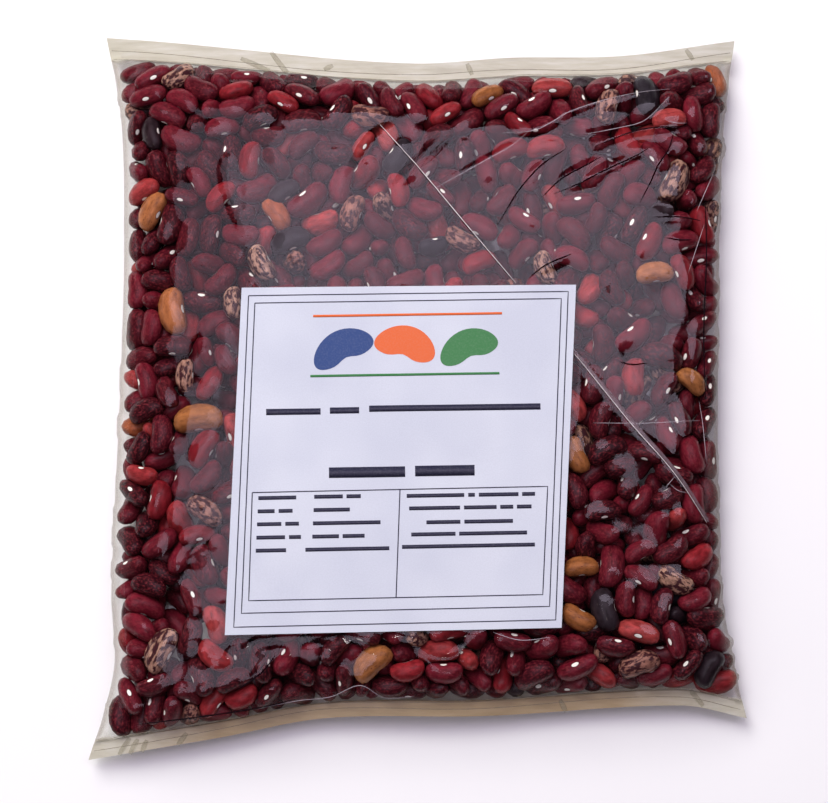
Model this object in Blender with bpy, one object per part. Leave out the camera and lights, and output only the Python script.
# A clear pillow bag of dried kidney beans, lying flat with its paper label up.
#
# Frame: X across the bag, Y along it towards the top seal, Z up. The origin is on the table under the
# middle of the bag. Sizes are in metres. The bag is one solid: a core, the beans that press against the
# film fused onto it, and the two flat heat seals. The label is a second solid.

import math
import random

import bmesh
import bpy
from mathutils import Matrix, Vector

MM = 0.001

# The film's outline, seen from above. Each edge is the straight line between two corners, moved towards
# the middle of the bag by (share of the way along the edge, how far).
TOP_LEFT = Vector((-97.8, 112.4)) * MM
TOP_RIGHT = Vector((99.5, 111.4)) * MM
BOTTOM_RIGHT = Vector((99.6, -99.8)) * MM
BOTTOM_LEFT = Vector((-99.6, -112.4)) * MM
TOP_EDGE = ((0.0, 0.0), (0.23, 4.3), (0.49, 8.6), (0.65, 6.2), (0.83, 5.4), (1.0, 0.0))
BOTTOM_EDGE = ((0.0, 0.0), (0.2, 4.2), (0.36, 8.0), (0.6, 5.6), (0.9, 5.0), (1.0, 0.0))
LEFT_EDGE = ((0.0, 0.0), (0.12, 7.6), (0.22, 6.4), (0.6, 7.8), (0.87, 6.0), (1.0, 0.0))
RIGHT_EDGE = ((0.0, 0.0), (0.09, 4.6), (0.2, 7.9), (0.55, 7.4), (0.85, 4.8), (1.0, 0.0))
BAG_WIDTH = BOTTOM_RIGHT.x - BOTTOM_LEFT.x
BAG_LENGTH = TOP_LEFT.y - BOTTOM_LEFT.y

# The pillow form.
THICKNESS = 21.0 * MM
FOLD_HEIGHT = 8.0 * MM  # of the side folds over the table
SEAL_DROP = 1.0 * MM  # how far the seals sink below that
CORNER_DROP = 2.5 * MM  # and the bag's corners below the seals
CORNER_POWER = 3  # a higher power keeps the drop nearer the corners
DROP_REACH = 30.0 * MM  # the drop starts this far from a seal
TOP_SEAL = 6.5 * MM  # width of the flat heat seal
BOTTOM_SEAL = 5.0 * MM
SEAL_WAVE = 0.7 * MM
SEAL_WAVES = 2.5  # along one seal
END_RISE = 24.0 * MM  # from a seal up to the full thickness
END_POWER = 2.3
SIDE_POWER = 6.0  # a higher power makes a wider flat top
UNDERSIDE_FILL = 1.22  # over 1, so that the underside is flat where it lies on the table
UNDERSIDE_POWER = 0.8
SHEET = 0.5 * MM  # two layers of film sealed together
INVERSE_STEPS = 4  # of the search for a place's shares, which is then exact to 0.01 mm
NORMAL_STEP = 0.004  # the shares between the points that give a slope

# The rows of the core's grid: their distances from a seal's inner line, and how many fill the middle.
END_ROWS = (0.0, 1.0, 3.5, 8.0, 14.0, 24.0)
MIDDLE_ROWS = 5
CELLS_ACROSS = 14

# The beans at the film, and the core that they are fused onto.
BEAN_LENGTH = 12.0 * MM
BEAN_WIDTH = 7.2 * MM
BEAN_HEIGHT = 5.8 * MM
BEAN_BEND = 1.0 * MM  # how far a bean's ends turn towards its hollow side
BEAN_SIZES = (1.22, 0.86)  # first and last bean, as a share of those
BEAN_SIDES = 6
BEAN_RINGS = 4
RELIEF = 2.2 * MM  # how far the beans stand out of the core
SEAL_SHARE = 3.0  # the core keeps its relief from where the bag is 1 part in this full
PACKING = 0.76  # of the distance at which two beans' outlines would just touch
SLACK = 0.6 * MM  # a bean may stand out of the smooth pillow form by this
LEAST_FILL = 0.3  # the pillow is too thin for a bean where it is less full
UPPER_SHARE = 0.72  # of the tries, the rest being on the underside
TRIES = 14000
SEED = 7

# The label, stuck on the film. It was cut by hand and isn't quite square.
LABEL_CORNERS = ((-57.6, -75.6), (42.8, -73.4), (48.0, 30.5), (-53.5, 29.6))
LABEL_SHEET = 0.3 * MM
LABEL_GAP = 0.3 * MM
LABEL_CELLS = 8
PAD_INSET = 2.0 * MM  # the film is flat under the label up to this far from the label's edge
PAD_DEPTH = 6.0 * MM

FILM_COLOUR = (0.20, 0.03, 0.04, 1.0)
FILM_ROUGHNESS = 0.25
PAPER_COLOUR = (0.70, 0.70, 0.82, 1.0)
PAPER_ROUGHNESS = 0.6


def clear_scene():
    """Starts from an empty scene."""
    for obj in list(bpy.data.objects):
        bpy.data.objects.remove(obj)


def material(name, colour, roughness):
    """A Principled material with one colour."""
    made = bpy.data.materials.new(name)
    made.use_nodes = True
    shader = made.node_tree.nodes["Principled BSDF"]
    shader.inputs["Base Color"].default_value = colour
    shader.inputs["Roughness"].default_value = roughness
    shader.inputs["Metallic"].default_value = 0.0
    return made


def smooth_value(knots, at):
    """A smooth curve through (place, value) pairs, read at one place."""
    last = len(knots) - 1
    i = next((k for k in range(last) if at <= knots[k + 1][0]), last - 1)

    def slope(k):
        low, high = knots[max(k - 1, 0)], knots[min(k + 1, last)]
        return (high[1] - low[1]) / (high[0] - low[0])

    (x0, y0), (x1, y1) = knots[i], knots[i + 1]
    span = x1 - x0
    t = (at - x0) / span
    start = (y0 * (1 + 2 * t) + slope(i) * span * t) * (1 - t) ** 2
    return start + (y1 * (3 - 2 * t) - slope(i + 1) * span * (1 - t)) * t**2


def outline_point(u, v):
    """The place, seen from above, of share u across the bag and share v along it."""
    top = TOP_LEFT.lerp(TOP_RIGHT, u) - Vector((0, smooth_value(TOP_EDGE, u) * MM))
    bottom = BOTTOM_LEFT.lerp(BOTTOM_RIGHT, u) + Vector((0, smooth_value(BOTTOM_EDGE, u) * MM))
    left = BOTTOM_LEFT.lerp(TOP_LEFT, v) + Vector((smooth_value(LEFT_EDGE, v) * MM, 0))
    right = BOTTOM_RIGHT.lerp(TOP_RIGHT, v) - Vector((smooth_value(RIGHT_EDGE, v) * MM, 0))
    corners = BOTTOM_LEFT.lerp(BOTTOM_RIGHT, u).lerp(TOP_LEFT.lerp(TOP_RIGHT, u), v)
    return bottom.lerp(top, v) + left.lerp(right, u) - corners


def shares_of(place):
    """The shares u and v of a place seen from above: the inverse of outline_point."""
    u, v = 0.5 + place.x / BAG_WIDTH, 0.5 + place.y / BAG_LENGTH
    for _ in range(INVERSE_STEPS):
        miss = place.xy - outline_point(min(max(u, 0), 1), min(max(v, 0), 1))
        u, v = u + miss.x / BAG_WIDTH, v + miss.y / BAG_LENGTH
    return u, v


def seal_distance(v):
    """How far share v along the bag is from the nearer seal's inner line."""
    return min(v * BAG_LENGTH - BOTTOM_SEAL, (1 - v) * BAG_LENGTH - TOP_SEAL)


def fullness(u, v):
    """0 at the folds and the seals, 1 where the bag has its full thickness."""
    rise = min(max(seal_distance(v) / END_RISE, 0), 1)
    ends = math.sqrt(1 - (1 - rise) ** END_POWER)
    sides = math.sqrt(1 - abs(2 * u - 1) ** SIDE_POWER)
    return ends * sides


def fold_height(u, v):
    """The height of the surface midway between the two sheets of film."""
    near = 1 - min(max(seal_distance(v) / DROP_REACH, 0), 1)
    drop = SEAL_DROP + CORNER_DROP * abs(2 * u - 1) ** CORNER_POWER
    wave = SEAL_WAVE * math.sin(2 * math.pi * SEAL_WAVES * u) * near**2
    return FOLD_HEIGHT - drop * near + wave


def upper_height(u, v, thickness=THICKNESS):
    """The height of the top of a pillow of that thickness."""
    fold = fold_height(u, v) + SHEET / 2
    return fold + (thickness - fold) * fullness(u, v)


def lower_height(u, v):
    """The height of the pillow's underside, which is flat on the table in the middle."""
    fold = fold_height(u, v) - SHEET / 2
    return fold * (1 - min(1, UNDERSIDE_FILL * fullness(u, v) ** UNDERSIDE_POWER))


def core_lower_height(u, v):
    """The height of the core's underside, which leaves room for beans where it is off the table."""
    height = lower_height(u, v)
    off_table = min(height / RELIEF, 1) * min(SEAL_SHARE * fullness(u, v), 1)
    return height + RELIEF / 2 * off_table


def surface_point(u, v, upper):
    """A point of the film, on its upper or its lower sheet."""
    place = outline_point(u, v)
    return place.to_3d() + Vector((0, 0, upper_height(u, v) if upper else lower_height(u, v)))


def surface_normal(u, v, upper):
    """The direction out of the bag at a point of the film."""
    low, high = max(u - NORMAL_STEP, 0), min(u + NORMAL_STEP, 1)
    across = surface_point(high, v, upper) - surface_point(low, v, upper)
    along = surface_point(u, v + NORMAL_STEP, upper) - surface_point(u, v - NORMAL_STEP, upper)
    return across.cross(along).normalized() * (1 if upper else -1)


def crowded(share):
    """Moves evenly spaced shares towards 0 and 1, so that the rounded sides get more cells."""
    return 0.5 - 0.5 * math.cos(math.pi * share)


def row_shares():
    """The shares v of the core's rows: on both seals' lines, close together at the ends."""
    first, last = END_ROWS[-1] * MM + BOTTOM_SEAL, BAG_LENGTH - END_ROWS[-1] * MM - TOP_SEAL
    low = [0.0] + [row * MM + BOTTOM_SEAL for row in END_ROWS]
    middle = [first + (last - first) * i / MIDDLE_ROWS for i in range(1, MIDDLE_ROWS)]
    high = [BAG_LENGTH - row * MM - TOP_SEAL for row in reversed(END_ROWS)] + [BAG_LENGTH]
    return [place / BAG_LENGTH for place in low + middle + high]


def mesh_from(bm, name):
    """The mesh of a finished bmesh, with its faces pointing out."""
    bmesh.ops.recalc_face_normals(bm, faces=bm.faces[:])
    mesh = bpy.data.meshes.new(name)
    bm.to_mesh(mesh)
    bm.free()
    return mesh


def two_sheets(cells_x, cells_y):
    """A grid from 0 to 1 thickened into two sheets, with the vertices of each."""
    bm = bmesh.new()
    bmesh.ops.create_grid(bm, x_segments=cells_x, y_segments=cells_y, size=0.5)
    bmesh.ops.translate(bm, verts=bm.verts[:], vec=(0.5, 0.5, 0))
    lower = bm.verts[:]
    made = bmesh.ops.extrude_face_region(bm, geom=bm.faces[:])
    upper = [v for v in made["geom"] if isinstance(v, bmesh.types.BMVert)]
    return bm, lower, upper


def core_mesh():
    """The pillow without its beans."""
    rows = row_shares()
    bm, lower, upper = two_sheets(CELLS_ACROSS, len(rows) - 1)
    for verts, is_upper in ((lower, False), (upper, True)):
        for vert in verts:
            u, v = crowded(vert.co.x), rows[round(vert.co.y * (len(rows) - 1))]
            place = outline_point(u, v)
            height = upper_height(u, v, THICKNESS - RELIEF) if is_upper else core_lower_height(u, v)
            vert.co = (place.x, place.y, height)
    return mesh_from(bm, "bag")


def bean_mesh():
    """One kidney bean with few sides, its length along X and its hollow side towards -Y."""
    bm = bmesh.new()
    bmesh.ops.create_uvsphere(bm, u_segments=BEAN_SIDES, v_segments=BEAN_RINGS, radius=0.5)
    bmesh.ops.rotate(bm, verts=bm.verts[:], matrix=Matrix.Rotation(math.pi / 2, 3, "Y"))
    for vert in bm.verts:
        x, y, z = vert.co
        bend = BEAN_BEND * (2 * x) ** 2
        vert.co = (x * BEAN_LENGTH, y * BEAN_WIDTH - bend, z * BEAN_HEIGHT)
    return mesh_from(bm, "bean")


def inside_label(point, inset):
    """True if a point, seen from above, is in the label by at least the inset."""
    corners = [Vector(c) * MM for c in LABEL_CORNERS]
    for i, start in enumerate(corners):
        edge = (corners[(i + 1) % 4] - start).normalized()
        if edge.cross(point.xy - start) < inset:
            return False
    return True


def under_film(point):
    """True if a point is inside the pillow form, or out of it by no more than the slack."""
    u, v = shares_of(point)
    if not (0 < u < 1 and 0 < v < 1):
        return False
    return lower_height(u, v) - SLACK <= point.z <= upper_height(u, v) + SLACK


def reach(axis, size, direction):
    """Half of a bean's extent in one direction."""
    longer = (BEAN_LENGTH - BEAN_WIDTH) * abs(axis.dot(direction))
    return (BEAN_WIDTH + longer) * size / 2


def clear_of(middle, axis, size, others):
    """True if a bean is far enough from every other one."""
    for other_middle, other_axis, other_size in others:
        between = middle - other_middle
        if between.length > 2 * BEAN_LENGTH:
            continue
        direction = between.normalized()
        touching = reach(axis, size, direction) + reach(other_axis, other_size, direction)
        if between.length < PACKING * touching:
            return False
    return True


def bean_placings():
    """Seeded random placings of the beans at the film, lying flat against it from inside."""
    draw = random.Random(SEED)
    taken, placings = [], []
    for attempt in range(TRIES):
        u, v, upper = crowded(draw.random()), draw.random(), draw.random() < UPPER_SHARE
        turn = draw.uniform(0, 2 * math.pi)
        size = BEAN_SIZES[0] + (BEAN_SIZES[1] - BEAN_SIZES[0]) * attempt / TRIES
        if fullness(u, v) < LEAST_FILL:
            continue
        point = surface_point(u, v, upper)
        hidden = inside_label(point, PAD_INSET) if upper else point.z < MM
        if hidden:
            continue
        normal = surface_normal(u, v, upper)
        facing = normal.to_track_quat("Z", "X").to_matrix() @ Matrix.Rotation(turn, 3, "Z")
        middle = point - normal * (BEAN_HEIGHT / 2 * size)
        axis = facing.col[0]
        tips = [middle + axis * (side * BEAN_LENGTH / 2 * size) for side in (-1, 1)]
        if all(under_film(tip) for tip in tips) and clear_of(middle, axis, size, taken):
            taken.append((middle, axis, size))
            placings.append(Matrix.LocRotScale(middle, facing, Vector((size, size, size))))
    return placings


def place_beans(collection):
    """Sets a bean at each place, lifted if it would reach below the table."""
    shared = bean_mesh()
    for i, placing in enumerate(bean_placings()):
        bean = bpy.data.objects.new(f"bean_{i}", shared)
        lowest = min((placing @ vert.co).z for vert in shared.vertices)
        placing.translation.z += max(SHEET - lowest, 0)
        bean.matrix_world = placing
        collection.objects.link(bean)


def label_sheet_mesh(name, inset, bottom, top):
    """A sheet that follows the film over the label's area, between two heights over the film."""
    corners = [Vector(c) * MM for c in LABEL_CORNERS]
    middle = sum(corners, Vector((0, 0))) / 4
    corners = [c + (middle - c).normalized() * inset * math.sqrt(2) for c in corners]
    low_left, low_right, high_right, high_left = corners
    bm, lower, upper = two_sheets(LABEL_CELLS, LABEL_CELLS)
    for verts, over_film in ((lower, bottom), (upper, top)):
        for vert in verts:
            s, t = vert.co.xy
            place = low_left.lerp(low_right, s).lerp(high_left.lerp(high_right, s), t)
            vert.co = (place.x, place.y, upper_height(*shares_of(place)) + over_film)
    return mesh_from(bm, name)


def join_all(base, collection):
    """Fuses a collection's objects onto the base object and removes them."""
    union = base.modifiers.new("fuse", "BOOLEAN")
    union.operation = "UNION"
    union.operand_type = "COLLECTION"
    union.collection = collection
    union.solver = "MANIFOLD"
    graph = bpy.context.evaluated_depsgraph_get()
    fused = bpy.data.meshes.new_from_object(base.evaluated_get(graph))
    base.modifiers.clear()
    base.data = fused
    for obj in list(collection.objects):
        bpy.data.objects.remove(obj)
    bpy.data.collections.remove(collection)


def build():
    """Makes the bag and its label in a collection of their own."""
    clear_scene()
    parts = bpy.data.collections.new("bag_of_dried_beans")
    fused = bpy.data.collections.new("beans_and_pad")
    for collection in (parts, fused):
        bpy.context.scene.collection.children.link(collection)

    bag = bpy.data.objects.new("bag", core_mesh())
    parts.objects.link(bag)
    pad = bpy.data.objects.new("pad", label_sheet_mesh("pad", PAD_INSET, -PAD_DEPTH, 0))
    fused.objects.link(pad)
    place_beans(fused)
    join_all(bag, fused)
    bag.data.materials.clear()
    bag.data.materials.append(material("film_over_beans", FILM_COLOUR, FILM_ROUGHNESS))

    label_mesh = label_sheet_mesh("label", 0, LABEL_GAP, LABEL_GAP + LABEL_SHEET)
    label = bpy.data.objects.new("label", label_mesh)
    label.data.materials.append(material("paper", PAPER_COLOUR, PAPER_ROUGHNESS))
    parts.objects.link(label)


build()
